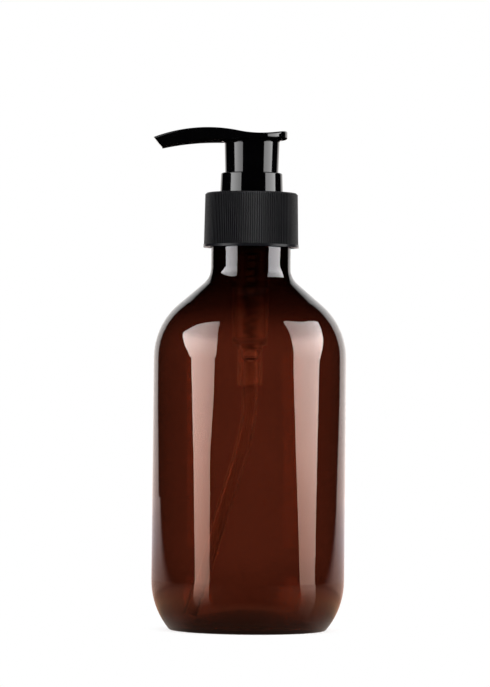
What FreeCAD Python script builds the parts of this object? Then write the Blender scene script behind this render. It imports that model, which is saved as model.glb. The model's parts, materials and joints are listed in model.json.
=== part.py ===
import FreeCAD, Part
import math
import os
from collections import namedtuple

import Sketcher
from FreeCAD import Vector

# Pump oil bottle: an amber bottle with a lock-turn lotion pump.
# Millimetres, +Z up. The origin is the centre of the ring that the bottle stands on,
# and the spout points along -X.

SIZES = {
    # Bottle
    "lip_height": 139.2,            # standing ring to lip
    "body_radius": 31.5,
    "body_wall": 0.85,
    "base_wall": 1.5,
    "heel_inset": 6.0,              # standing ring's outer edge, inside the body
    "heel_height": 16.2,            # where the heel's curve meets the straight body
    "heel_edge": 1.0,
    "ring_width": 4.9,
    "push_up": 5.0,                 # hollow under the base, at its middle
    "neck_height": 24.0,            # lip to where the shoulder's slope would meet the neck
    "shoulder_height": 15.8,        # from there to where the slope would meet the body
    "shoulder_wall": 1.7,           # at the neck, thinner towards the body
    "shoulder_round": 23.0,
    "shoulder_inner_round": 20.8,
    "neck_round": 6.5,
    "neck_radius": 13.05,
    "neck_wall": 1.9,
    "lip_edge": 0.5,
    # Closure, walls outside the room for the thread
    "closure_height": 17.85,
    "thread_room": 0.85,
    "closure_foot_wall": 1.55,      # with the ribs
    "closure_head_wall": 1.25,      # with the ribs
    "closure_roof": 1.4,
    "closure_edge": 0.5,
    "rim_wall": 1.75,               # smooth rim below the ribs
    "rim_height": 0.9,
    "rib_count": 132,
    "rib_depth": 0.25,
    "rib_width": 0.4,
    "hole_room": 0.1,               # closure's hole round the collar's skirt
    # Gasket
    "gasket_thickness": 1.0,
    "gasket_side": 0.9,             # inside the closure
    "gasket_room": 0.1,             # round the housing's cup
    # Housing, heights from its foot
    "housing_drop": 60.4,           # foot to the flange's underside
    "flange_width": 1.6,
    "flange_thickness": 1.2,
    "cup_room": 0.3,                # cup inside the neck
    "cup_wall": 0.9,
    "cup_floor": 1.0,
    "cup_round": 0.8,
    "housing_bore": 4.85,
    "housing_wall": 1.025,
    "foot_wall": 1.47,              # round the dip tube
    "step_rise": 1.35,              # spring's seat to the step below the cylinder
    "step_round": 0.5,
    "socket_depth": 7.5,            # for the dip tube
    "seat_web": 0.8,                # between the tube and the ball's seat
    "inlet_radius": 1.4,
    "pocket_depth": 2.0,            # round the spring's lowest turns
    "vent_radius": 0.7,
    "vent_drop": 6.0,               # below the cup
    # Stem guide
    "guide_thickness": 1.2,
    "guide_drop": 4.4,
    "stem_room": 0.15,
    # Lock collar
    "collar_height": 6.55,
    "collar_foot_wall": 0.95,
    "collar_head_wall": 0.7,
    "collar_edge": 0.5,
    "collar_relief": 0.2,           # bore wider than the skirt's
    "skirt_wall": 0.75,
    # Head, heights from the foot of its column or from the pad's underside
    "head_overlap": 2.0,            # column inside the collar at rest
    "stroke": 9.5,
    "press_room": 0.7,              # below the column when pressed
    "pad_room": 1.6,                # below the pad when pressed
    "column_room": 0.1,
    "column_draft": 0.38,
    "column_wall": 1.1,
    "column_blend": 1.0,
    "pad_overhang": 2.55,            # beyond the column
    "saddle_rise": 1.5,            # underside to the lowest point of the pad's top
    "saddle_offset": 2.2,           # that point lies behind the axis
    "saddle_round": 30.0,
    "crown_rise": 3.35,              # underside to the highest point of the spout
    "crown_round": 50.0,
    "spout_reach": 32.2,
    "spout_under_round": 82.0,
    "spout_under_start": 12.0,
    "spout_drop": 0.7,              # the underside falls this far from the pad's rear to there
    "tip_slant": 2.8,               # lower edge of the tip stands back
    "tip_width": 7.0,
    "head_top_edge": 0.7,
    "head_under_edge": 0.6,
    "outlet_radius": 1.1,
    "outlet_elbow": 2.5,
    "outlet_depth": 2.1,           # middle of the outlet below the crown
    "outlet_turn": 8.0,             # where it leaves the spout's curve
    "stem_socket_wall": 1.4,
    "stem_socket_foot": 0.5,
    "stem_socket_drop": 4.5,        # underside down to the socket's end
    "ceiling_drop": 3.3,            # underside down to the column's ceiling
    "brace_width": 0.9,
    "brace_count": 4,
    "brace_foot": 3.5,
    # Stem, seal stem and piston
    "stem_radius": 2.8,
    "stem_bore": 1.7,
    "stem_low_radius": 2.2,
    "stem_low_bore": 1.4,
    "stem_step": 1.0,               # bore narrows this far above the shoulder
    "port_radius": 0.6,
    "port_height": 0.7,
    "seal_radius": 3.6,
    "seal_thickness": 1.0,
    "pin_length": 6.0,
    "pin_flat": 0.9,                # flats beside the pin, from its axis
    "tail_radius": 1.3,
    "tail_length": 14.0,
    "tail_edge": 0.8,
    "piston_height": 7.0,
    "piston_sleeve_wall": 0.85,
    "piston_web": 1.2,
    "piston_land": 0.6,             # height of each sealing lip
    "piston_relief": 0.25,          # skirt inside the bore
    "piston_wall": 0.6,             # of the skirt at the web
    "piston_lip_wall": 0.25,        # of the skirt at its lips
    "piston_room": 0.05,
    "piston_gap": 0.2,              # below the guide at rest
    "lost_motion": 1.2,
    # Ball
    "ball_radius": 2.0,
    "ball_room": 0.15,
    "ball_lift": 1.4,               # up to the spring's lowest turn
    # Spring
    "spring_over": 0.2,             # middle of the wire outside the ball
    "spring_wire": 0.7,
    "spring_turns": 12,
    "spring_end_pitch": 0.4,
    "spring_room": 0.35,
    # Dip tube
    "tube_radius": 2.6,
    "tube_bore": 1.45,
    "tube_straight": 12.1,
    "tube_bend_radius": 60.0,
    "tube_inset": 6.95,             # its foot's middle inside the standing ring's outer edge
    "tube_gap": 0.3,                # below its foot
    # Fits
    "press_fit": 0.03,
    "slide_fit": 0.05,
    "seat_gap": 0.05,
}

doc = FreeCAD.newDocument("pump_oil_bottle")
dims = doc.addObject("Spreadsheet::Sheet", "dims")
for row, (alias, value) in enumerate(SIZES.items(), start=1):
    dims.set(f"A{row}", alias)
    dims.set(f"B{row}", str(value))
    dims.setAlias(f"B{row}", alias)
doc.recompute()

# Radii that follow from the neck outwards and inwards
NECK_BORE = "(dims.neck_radius - dims.neck_wall)"
CLOSURE_BORE = "(dims.neck_radius + dims.thread_room)"
CUP_RADIUS = f"({NECK_BORE} - dims.cup_room)"
CUP_BORE = f"({CUP_RADIUS} - dims.cup_wall)"
CUP_PLUG = f"({CUP_BORE} - dims.slide_fit)"
SKIRT_BORE = f"({CUP_PLUG} - dims.skirt_wall)"
COLUMN_HEAD = f"({SKIRT_BORE} - dims.column_room)"
COLUMN_FOOT = f"({COLUMN_HEAD} - dims.column_draft)"
PAD = f"({COLUMN_HEAD} + dims.pad_overhang)"
SOCKET_RADIUS = "(dims.stem_radius + dims.stem_socket_wall)"
HEEL = "(dims.body_radius - dims.heel_inset)"
RING = f"({HEEL} - dims.ring_width)"
BALL_ROOM = "(dims.ball_radius + dims.ball_room)"
SPRING_RADIUS = "(dims.ball_radius + dims.spring_over)"
SPRING_ROOM = f"({SPRING_RADIUS} + dims.spring_wire / 2 + dims.spring_room)"

# Heights within the housing, from its foot
BALL_SEAT = "(dims.socket_depth + dims.seat_web)"
BALL_CENTRE = f"({BALL_SEAT} - dims.inlet_radius + sqrt(2) * (dims.ball_radius + dims.seat_gap))"
BALL_STOP = f"sqrt((dims.ball_radius + dims.spring_wire / 2 + dims.seat_gap)^2 - {SPRING_RADIUS}^2)"
LOWEST_TURN = f"({BALL_CENTRE} + dims.ball_lift + {BALL_STOP})"
SPRING_SEAT = f"({LOWEST_TURN} - dims.spring_wire / 2 - dims.seat_gap)"

# Heights within the head, from the foot of its column
PAD_UNDER = "(dims.head_overlap + dims.stroke + dims.pad_room)"
SADDLE = f"({PAD_UNDER} + dims.saddle_rise)"
CROWN = f"({PAD_UNDER} + dims.crown_rise)"
SOCKET_TOP = f"({PAD_UNDER} - dims.stem_socket_drop)"
CEILING = f"({PAD_UNDER} - dims.ceiling_drop)"

# Levels of the stack above the standing ring
GROUND = "0"
LIP = "dims.lip_height"
FLANGE = f"({LIP} + dims.gasket_thickness)"
ROOF = f"({FLANGE} + dims.flange_thickness)"
CLOSURE_TOP = f"({ROOF} + dims.closure_roof)"
CLOSURE_FOOT = f"({CLOSURE_TOP} - dims.closure_height)"
HOUSING_FOOT = f"({FLANGE} - dims.housing_drop)"
HEAD_FOOT = f"({CLOSURE_TOP} + dims.collar_height - dims.head_overlap)"
GUIDE_TOP = f"({HEAD_FOOT} - dims.stroke - dims.press_room)"
CUP_FLOOR = f"({GUIDE_TOP} - dims.guide_thickness)"
GUIDE_FOOT = f"({CUP_FLOOR} - dims.guide_drop)"
PISTON_FOOT = f"({GUIDE_FOOT} - dims.piston_gap - dims.piston_height)"
SEAL_FACE = f"({PISTON_FOOT} - dims.seat_gap)"
TUBE_TOP = f"({HOUSING_FOOT} + dims.socket_depth)"
SPRING_FOOT = f"({HOUSING_FOOT} + {SPRING_SEAT} + dims.seat_gap)"
SPRING_HEAD = f"({SEAL_FACE} - dims.seal_thickness - dims.seat_gap)"

SMALLEST_CUT = 0.01         # cubic millimetres
SAME_EDGE = 1e-3            # millimetres
LEVEL_FACE = 0.8            # least slope of a top or an underside
UPRIGHT_FACE = 0.1          # greatest slope of a wall
POINTS_PER_TURN = 36        # where the spring's gap to itself is measured

Corner = namedtuple("Corner", "across up rounded arc", defaults=(None, None))


def size(expression):
    """The value of an expression over the sheet."""
    return float(dims.evalExpression(expression))


def new_body(label, level):
    """A named body that stands at a level of the stack."""
    body = doc.addObject("PartDesign::Body", label)
    body.Label = label
    if level != GROUND:
        body.setExpression("Placement.Base.z", level)
    return body


def new_sketch(body, name, plane, offset=None):
    """A sketch on one of the body's own planes, lifted by an offset."""
    sketch = body.newObject("Sketcher::SketchObject", f"{body.Label}_{name}")
    origin = body.Origin.OriginFeatures
    sketch.AttachmentSupport = [(next(f for f in origin if f.Role == plane), "")]
    sketch.MapMode = "FlatFace"
    if offset:
        sketch.setExpression("AttachmentOffset.Base.z", offset)
    return sketch


def bind(sketch, constraint, expression):
    """Adds a size to a sketch and ties it to the sheet."""
    index = sketch.addConstraint(constraint)
    sketch.setExpression(f"Constraints[{index}]", expression)


def place(sketch, shape, end, across, up):
    """Holds one point of a sketch at two expressions from its origin."""
    for kind, axis, expression in (("DistanceX", -2, across), ("DistanceY", -1, up)):
        value = size(expression)
        if expression == "0":
            sketch.addConstraint(Sketcher.Constraint("PointOnObject", shape, end, axis))
        elif value < 0:
            reverse = Sketcher.Constraint(kind, shape, end, -1, 1, -value)
            bind(sketch, reverse, f"-({expression})")
        else:
            bind(sketch, Sketcher.Constraint(kind, -1, 1, shape, end, value), expression)


def sketch_line(sketch, start, end):
    return sketch.addGeometry(Part.LineSegment(start, end), False)


def end_at(sketch, shape, point):
    """Which end of a line or an arc lies at a point: 1 or 2."""
    geometry = sketch.Geometry[shape]
    gaps = [geometry.StartPoint.distanceToPoint(point), geometry.EndPoint.distanceToPoint(point)]
    return 1 + gaps.index(min(gaps))


def arc_through(start, middle, end):
    """An arc through three points, turned anticlockwise as sketches keep their arcs."""
    clockwise = (middle - start).cross(end - middle).z < 0
    return Part.Arc(end, middle, start) if clockwise else Part.Arc(start, middle, end)


def arc_along(start, end, tangent):
    """An arc that leaves its start along a tangent."""
    chord = end - start
    normal = Vector(-tangent.y, tangent.x, 0).normalize()
    radius = chord.dot(chord) / (2 * chord.dot(normal))
    centre = start + normal * radius
    middle = (start + end) * 0.5 - centre
    return arc_through(start, centre + middle.normalize() * abs(radius), end)


def dome(start, end):
    """An arc between the axis and a rim, with its centre on the axis."""
    top, rim = sorted((start, end), key=lambda point: abs(point.x))
    return arc_along(top, rim, Vector(1, 0, 0))


def draw(sketch, corners):
    """Closes an outline through corners, with a tangent arc at each rounded one.

    A corner's arc says how the side that leaves it bends: "dome" has its centre on the axis,
    "after" runs on from the side before it, and "before" runs into the side after it.
    """
    count = len(corners)
    points = [Vector(size(c.across), size(c.up), 0) for c in corners]
    arrive, leave, rounds = list(points), list(points), {}
    for i, corner in enumerate(corners):
        if not corner.rounded:
            continue
        back = (points[i - 1] - points[i]).normalize()
        ahead = (points[(i + 1) % count] - points[i]).normalize()
        half, radius = back.getAngle(ahead) / 2, size(corner.rounded)
        arrive[i] = points[i] + back * (radius / math.tan(half))
        leave[i] = points[i] + ahead * (radius / math.tan(half))
        inward = radius / math.sin(half) - radius
        middle = points[i] + (back + ahead).normalize() * inward
        rounds[i] = arc_through(arrive[i], middle, leave[i])

    sides = []
    for i, corner in enumerate(corners):
        after = (i + 1) % count
        start, end = leave[i], arrive[after]
        if corner.arc == "dome":
            sides.append(dome(start, end))
        elif corner.arc == "after":
            sides.append(arc_along(start, end, points[i] - points[i - 1]))
        elif corner.arc == "before":
            sides.append(arc_along(end, start, points[after] - points[(after + 1) % count]))
        else:
            sides.append(Part.LineSegment(start, end))
    sketch.addGeometry(sides, False)

    for i, corner in enumerate(corners):
        before = (i - 1) % count
        last = end_at(sketch, before, arrive[i])
        first = end_at(sketch, i, leave[i])
        if i in rounds:
            bend = sketch.addGeometry(rounds[i], False)
            peg = sketch.addGeometry(Part.Point(points[i]), True)
            near, far = end_at(sketch, bend, arrive[i]), end_at(sketch, bend, leave[i])
            sketch.addConstraint([
                Sketcher.Constraint("Tangent", before, last, bend, near),
                Sketcher.Constraint("Tangent", bend, far, i, first),
                Sketcher.Constraint("PointOnObject", peg, 1, before),
                Sketcher.Constraint("PointOnObject", peg, 1, i)])
            bind(sketch, Sketcher.Constraint("Radius", bend, size(corner.rounded)), corner.rounded)
            place(sketch, peg, 1, corner.across, corner.up)
            continue
        smooth = corner.arc == "after" or corners[before].arc == "before"
        meet = "Tangent" if smooth else "Coincident"
        sketch.addConstraint(Sketcher.Constraint(meet, before, last, i, first))
        place(sketch, i, first, corner.across, corner.up)
        if corner.arc == "dome":
            sketch.addConstraint(Sketcher.Constraint("PointOnObject", i, 3, -2))


def turn(body, name, corners, kind="Revolution"):
    """Turns an outline of radii and heights about the body's axis."""
    sketch = new_sketch(body, f"{name}_outline", "XZ_Plane")
    draw(sketch, corners)
    feature = body.newObject(f"PartDesign::{kind}", f"{body.Label}_{name}")
    feature.Profile = sketch
    feature.ReferenceAxis = (sketch, ["V_Axis"])
    feature.Angle = 360
    return feature


def turned(label, level, corners):
    """A piece that is all of one turning."""
    body = new_body(label, level)
    turn(body, "turning", corners)
    return body


def extrude(body, name, sketch, length=None, kind="Pad", side="Symmetric", reverse=False):
    """Pads or pockets a sketch by a length, or cuts through everything."""
    feature = body.newObject(f"PartDesign::{kind}", f"{body.Label}_{name}")
    feature.Profile = sketch
    feature.SideType = side
    feature.Reversed = reverse
    if length:
        feature.setExpression("Length", length)
    else:
        feature.Type = "ThroughAll"
    return feature


def check_cut(feature):
    """Stops at a cut that points away from its solid."""
    doc.recompute()
    if feature.Shape.Volume > feature.BaseFeature.Shape.Volume - SMALLEST_CUT:
        raise RuntimeError(f"{feature.Label} cuts nothing")


def cross_hole(body, name, radius, height):
    """Drills through both walls of a turned piece, square to its axis."""
    sketch = new_sketch(body, f"{name}_circle", "XZ_Plane")
    centre = Vector(0, size(height), 0)
    circle = sketch.addGeometry(Part.Circle(centre, Vector(0, 0, 1), size(radius)), False)
    bind(sketch, Sketcher.Constraint("Radius", circle, size(radius)), radius)
    place(sketch, circle, 3, "0", height)
    check_cut(extrude(body, name, sketch, kind="Pocket"))


def fillet(body, name, radius, wanted):
    """Rounds the edges of the body's last feature that a test picks."""
    doc.recompute()
    base = body.Tip
    picked = [f"Edge{i}" for i, edge in enumerate(base.Shape.Edges, start=1) if wanted(edge)]
    if not picked:
        raise RuntimeError(f"{body.Label} has no edge for {name}")
    feature = body.newObject("PartDesign::Fillet", f"{body.Label}_{name}")
    feature.Base = (base, picked)
    feature.setExpression("Radius", radius)
    return feature


def ring_edge(radius, height):
    """A test for a full circle about the axis."""
    def wanted(edge):
        if edge.Degenerated or not isinstance(edge.Curve, Part.Circle):
            return False
        near = abs(edge.Curve.Radius - size(radius)) < SAME_EDGE
        return near and abs(edge.Curve.Center.z - size(height)) < SAME_EDGE
    return wanted


def pattern(body, feature, count):
    """Repeats a feature round the axis."""
    ring = body.newObject("PartDesign::PolarPattern", f"{feature.Label}_ring")
    ring.Originals = [feature]
    ring.Axis = (feature.Profile[0], ["V_Axis"])
    ring.Angle = 360
    ring.setExpression("Occurrences", count)
    body.Tip = ring
    return ring


def make_bottle():
    slope_head = f"({LIP} - dims.neck_height)"
    slope_foot = f"({slope_head} - dims.shoulder_height)"
    run = "(dims.body_radius - dims.neck_radius)"
    half_turn = f"((sqrt({run}^2 + dims.shoulder_height^2) - dims.shoulder_height) / {run})"
    inner = "(dims.body_radius - dims.body_wall)"
    inner_foot = f"({slope_foot} - dims.body_wall * {half_turn})"
    outer_head = f"({slope_head} + dims.neck_wall * dims.shoulder_height / {run})"
    inner_head = f"({outer_head} - dims.shoulder_wall * sqrt({run}^2 + dims.shoulder_height^2) / {run})"
    body = turned("bottle", GROUND, [
        Corner("0", "dims.push_up", arc="dome"),
        Corner(RING, "0"),
        Corner(HEEL, "0", arc="before"),
        Corner("dims.body_radius", "dims.heel_height"),
        Corner("dims.body_radius", slope_foot, "dims.shoulder_round"),
        Corner("dims.neck_radius", slope_head, "dims.neck_round"),
        Corner("dims.neck_radius", LIP, "dims.lip_edge"),
        Corner(NECK_BORE, LIP),
        Corner(NECK_BORE, inner_head, "dims.neck_round + dims.neck_wall"),
        Corner(inner, inner_foot, "dims.shoulder_inner_round"),
        Corner(inner, "dims.heel_height", arc="after"),
        Corner(HEEL, "dims.base_wall"),
        Corner(RING, "dims.base_wall", arc="dome"),
        Corner("0", "dims.push_up + dims.base_wall"),
    ])
    fillet(body, "heel_edge", "dims.heel_edge", ring_edge(HEEL, "0"))


def make_closure():
    rim = f"({CLOSURE_BORE} + dims.rim_wall)"
    ribs_foot = f"({CLOSURE_BORE} + dims.closure_foot_wall)"
    ribs_head = f"({CLOSURE_BORE} + dims.closure_head_wall)"
    ribs_root = f"({CLOSURE_BORE} + dims.rib_depth)"
    ribs_top = "(dims.closure_height - dims.closure_edge)"
    hole = f"({CUP_PLUG} + dims.hole_room)"
    ceiling = "(dims.closure_height - dims.closure_roof)"
    body = turned("closure", CLOSURE_FOOT, [
        Corner(CLOSURE_BORE, "0"),
        Corner(rim, "0"),
        Corner(rim, "dims.rim_height"),
        Corner(f"{ribs_foot} - dims.rib_depth", "dims.rim_height"),
        Corner(f"{ribs_head} - dims.rib_depth", "dims.closure_height", "dims.closure_edge"),
        Corner(hole, "dims.closure_height"),
        Corner(hole, ceiling),
        Corner(CLOSURE_BORE, ceiling),
    ])
    sketch = new_sketch(body, "rib_side", "XZ_Plane")
    draw(sketch, [
        Corner(ribs_root, "dims.rim_height"),
        Corner(ribs_foot, "dims.rim_height"),
        Corner(ribs_head, ribs_top),
        Corner(ribs_root, ribs_top),
    ])
    pattern(body, extrude(body, "rib", sketch, "dims.rib_width"), "dims.rib_count")


def make_gasket():
    inner = f"({CUP_RADIUS} + dims.gasket_room)"
    outer = f"({CLOSURE_BORE} - dims.gasket_side)"
    turned("gasket", LIP, [
        Corner(inner, "0"),
        Corner(outer, "0"),
        Corner(outer, "dims.gasket_thickness"),
        Corner(inner, "dims.gasket_thickness"),
    ])


def make_housing():
    socket = "(dims.tube_radius + dims.press_fit)"
    foot = f"({socket} + dims.foot_wall)"
    cylinder = "(dims.housing_bore + dims.housing_wall)"
    flange = f"({CUP_RADIUS} + dims.flange_width)"
    step = f"({SPRING_SEAT} + dims.step_rise)"
    pocket_top = f"({SPRING_SEAT} + dims.pocket_depth)"
    top = "(dims.housing_drop + dims.flange_thickness)"
    floor = f"({CUP_FLOOR} - {HOUSING_FOOT})"
    under = f"({floor} - dims.cup_floor)"
    body = turned("housing", HOUSING_FOOT, [
        Corner(socket, "0"),
        Corner(socket, "dims.socket_depth"),
        Corner("dims.inlet_radius", "dims.socket_depth"),
        Corner("dims.inlet_radius", BALL_SEAT),
        Corner(BALL_ROOM, f"{BALL_SEAT} + {BALL_ROOM} - dims.inlet_radius"),
        Corner(BALL_ROOM, SPRING_SEAT),
        Corner(SPRING_ROOM, SPRING_SEAT),
        Corner(SPRING_ROOM, pocket_top),
        Corner("dims.housing_bore", f"{pocket_top} + dims.housing_bore - {SPRING_ROOM}"),
        Corner("dims.housing_bore", floor),
        Corner(CUP_BORE, floor),
        Corner(CUP_BORE, top),
        Corner(flange, top),
        Corner(flange, "dims.housing_drop"),
        Corner(CUP_RADIUS, "dims.housing_drop"),
        Corner(CUP_RADIUS, under, "dims.cup_round"),
        Corner(cylinder, under),
        Corner(cylinder, step, "dims.step_round"),
        Corner(foot, step),
        Corner(foot, "0"),
    ])
    cross_hole(body, "vent", "dims.vent_radius", f"{under} - dims.vent_drop")


def make_stem_guide():
    bore = "(dims.stem_radius + dims.stem_room)"
    tube = "(dims.housing_bore - dims.slide_fit)"
    turned("stem_guide", CUP_FLOOR, [
        Corner(bore, "-dims.guide_drop"),
        Corner(tube, "-dims.guide_drop"),
        Corner(tube, "0"),
        Corner(CUP_PLUG, "0"),
        Corner(CUP_PLUG, "dims.guide_thickness"),
        Corner(bore, "dims.guide_thickness"),
    ])


def make_lock_collar():
    skirt_foot = f"({GUIDE_TOP} - {CLOSURE_TOP})"
    bore = f"({SKIRT_BORE} + dims.collar_relief)"
    turned("lock_collar", CLOSURE_TOP, [
        Corner(SKIRT_BORE, skirt_foot),
        Corner(CUP_PLUG, skirt_foot),
        Corner(CUP_PLUG, "0"),
        Corner(f"{bore} + dims.collar_foot_wall", "0"),
        Corner(f"{bore} + dims.collar_head_wall", "dims.collar_height", "dims.collar_edge"),
        Corner(bore, "dims.collar_height"),
        Corner(bore, "0"),
        Corner(SKIRT_BORE, "0"),
    ])


def make_main_stem():
    shoulder = "(dims.piston_height + dims.lost_motion + 2 * dims.seat_gap)"
    step = f"({shoulder} + dims.stem_step)"
    top = f"({HEAD_FOOT} + {SOCKET_TOP} - {SEAL_FACE})"
    body = turned("main_stem", SEAL_FACE, [
        Corner("dims.stem_low_bore", "0"),
        Corner("dims.stem_low_radius", "0"),
        Corner("dims.stem_low_radius", shoulder),
        Corner("dims.stem_radius", shoulder),
        Corner("dims.stem_radius", top),
        Corner("dims.stem_bore", top),
        Corner("dims.stem_bore", step),
        Corner("dims.stem_low_bore", step),
    ])
    cross_hole(body, "port", "dims.port_radius", "dims.port_height")


def make_seal_stem():
    pin = "(dims.stem_low_bore - dims.press_fit)"
    under = "-dims.seal_thickness"
    tail_foot = "-(dims.seal_thickness + dims.tail_length)"
    body = turned("seal_stem", SEAL_FACE, [
        Corner("0", tail_foot),
        Corner("dims.tail_radius", tail_foot, "dims.tail_edge"),
        Corner("dims.tail_radius", under),
        Corner("dims.seal_radius", under),
        Corner("dims.seal_radius", "0"),
        Corner(pin, "0"),
        Corner(pin, "dims.pin_length"),
        Corner("0", "dims.pin_length"),
    ])
    for side in ("", "-"):
        sketch = new_sketch(body, f"flat{side and '_back'}_side", "YZ_Plane")
        draw(sketch, [
            Corner(f"{side}dims.pin_flat", "0"),
            Corner(f"{side}dims.seal_radius", "0"),
            Corner(f"{side}dims.seal_radius", "dims.pin_length"),
            Corner(f"{side}dims.pin_flat", "dims.pin_length"),
        ])
        check_cut(extrude(body, f"flat{side and '_back'}", sketch, kind="Pocket"))


def make_piston():
    bore = "(dims.stem_low_radius + dims.piston_room)"
    sleeve = f"({bore} + dims.piston_sleeve_wall)"
    lip = "(dims.housing_bore - dims.piston_room)"
    skirt = "(dims.housing_bore - dims.piston_relief)"
    groove = f"({skirt} - dims.piston_wall)"
    lip_bore = f"({skirt} - dims.piston_lip_wall)"
    web_foot = "((dims.piston_height - dims.piston_web) / 2)"
    web_head = "((dims.piston_height + dims.piston_web) / 2)"
    land = "dims.piston_land"
    top = "dims.piston_height"
    turned("piston", PISTON_FOOT, [
        Corner(bore, "0"),
        Corner(sleeve, "0"),
        Corner(sleeve, web_foot),
        Corner(groove, web_foot),
        Corner(lip_bore, land),
        Corner(lip, land),
        Corner(lip, f"2 * {land}"),
        Corner(skirt, f"3 * {land}"),
        Corner(skirt, f"{top} - 3 * {land}"),
        Corner(lip, f"{top} - 2 * {land}"),
        Corner(lip, f"{top} - {land}"),
        Corner(lip_bore, f"{top} - {land}"),
        Corner(groove, web_head),
        Corner(sleeve, web_head),
        Corner(sleeve, top),
        Corner(bore, top),
    ])


def make_check_ball():
    ball = doc.addObject("Part::Sphere", "check_ball")
    ball.Label = "check_ball"
    ball.setExpression("Radius", "dims.ball_radius")
    ball.setExpression("Placement.Base.z", f"{HOUSING_FOOT} + {BALL_CENTRE}")


def pipe(body, name, radius, spine, offset=None, kind="Additive"):
    """Sweeps a circle along a path sketch that starts at the axis, square to it."""
    sketch = new_sketch(body, f"{name}_circle", "XY_Plane", offset)
    circle = sketch.addGeometry(Part.Circle(Vector(), Vector(0, 0, 1), size(radius)), False)
    bind(sketch, Sketcher.Constraint("Radius", circle, size(radius)), radius)
    sketch.addConstraint(Sketcher.Constraint("Coincident", circle, 3, -1, 1))
    doc.recompute()
    feature = body.newObject(f"PartDesign::{kind}Pipe", f"{body.Label}_{name}")
    feature.Profile = sketch
    feature.Spine = (spine, [f"Edge{i}" for i in range(1, 1 + len(spine.Shape.Edges))])
    return feature


def make_dip_tube():
    """A tube that hangs straight from the housing, then bends out to the bottle's heel."""
    body = new_body("dip_tube", TUBE_TOP)
    path = new_sketch(body, "path", "XZ_Plane")
    straight, radius = size("dims.tube_straight"), size("dims.tube_bend_radius")
    sway = f"({HEEL} - dims.tube_inset)"
    rim = f"({sway} - dims.tube_radius)"
    dome_round = f"(({RING}^2 + dims.push_up^2) / (2 * dims.push_up))"
    dome_height = f"(dims.push_up - {dome_round} + sqrt({dome_round}^2 - {rim}^2))"
    floor = f"(dims.base_wall + max(0; {dome_height}))"
    fall = f"({TUBE_TOP} - dims.tube_straight - {floor})"
    inward = f"(dims.tube_bend_radius - {sway})"
    lean = f"(atan2({fall}; {inward}) - acos(dims.tube_bend_radius / sqrt({inward}^2 + {fall}^2)))"
    drop = f"({TUBE_TOP} - {floor} - dims.tube_radius * sin({lean}) - dims.tube_gap)"
    knee = Vector(0, -straight, 0)
    foot = Vector(-size(sway), -size(drop), 0)
    centre = knee - Vector(radius, 0, 0)
    reach = foot - centre
    bend = math.atan2(-reach.y, reach.x) - math.acos(radius / reach.Length)
    middle = centre + Vector(math.cos(bend / 2), -math.sin(bend / 2), 0) * radius
    bend_end = centre + Vector(math.cos(bend), -math.sin(bend), 0) * radius
    hang = sketch_line(path, Vector(), knee)
    arc = path.addGeometry(arc_through(knee, middle, bend_end), False)
    slope = sketch_line(path, bend_end, foot)
    path.addConstraint([
        Sketcher.Constraint("Coincident", hang, 1, -1, 1),
        Sketcher.Constraint("Vertical", hang),
        Sketcher.Constraint("Tangent", hang, 2, arc, end_at(path, arc, knee)),
        Sketcher.Constraint("Tangent", arc, end_at(path, arc, bend_end), slope, 1)])
    bind(path, Sketcher.Constraint("Distance", hang, straight), "dims.tube_straight")
    bind(path, Sketcher.Constraint("Radius", arc, radius), "dims.tube_bend_radius")
    bind(path, Sketcher.Constraint("DistanceX", slope, 2, -1, 1, size(sway)), sway)
    bind(path, Sketcher.Constraint("DistanceY", slope, 2, -1, 1, size(drop)), drop)
    pipe(body, "wall", "dims.tube_radius", path)
    check_cut(pipe(body, "hole", "dims.tube_bore", path, kind="Subtractive"))
    length = sum(edge.Length for edge in path.Shape.Edges)
    section = math.pi * (size("dims.tube_radius") ** 2 - size("dims.tube_bore") ** 2)
    print(f"dip tube {length:.1f} mm long, bent {math.degrees(bend):.1f} degrees,",
          "volume over section times length", round(body.Shape.Volume / (length * section), 4))


def biarc(start, heading, end, arrival):
    """Two arcs that leave one point along a heading and reach another along a second."""
    chord, both = end - start, heading + arrival
    lean, spread = chord.dot(both), 2 * (1 - heading.dot(arrival))
    reach = (math.sqrt(lean ** 2 + spread * chord.dot(chord)) - lean) / spread
    near, far = start + heading * reach, end - arrival * reach
    join = (near + far) * 0.5
    return [corner_arc(start, near, join), corner_arc(join, far, end)]


def corner_arc(start, corner, end):
    """The arc whose tangents at its two ends meet at a corner."""
    centre = (start + end) * 0.5
    half_chord, height = start.distanceToPoint(end) / 2, corner.distanceToPoint(centre)
    bulge = half_chord * math.tan(math.atan2(height, half_chord) / 2)
    return Part.Arc(start, centre + (corner - centre) * (bulge / height), end)


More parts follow.
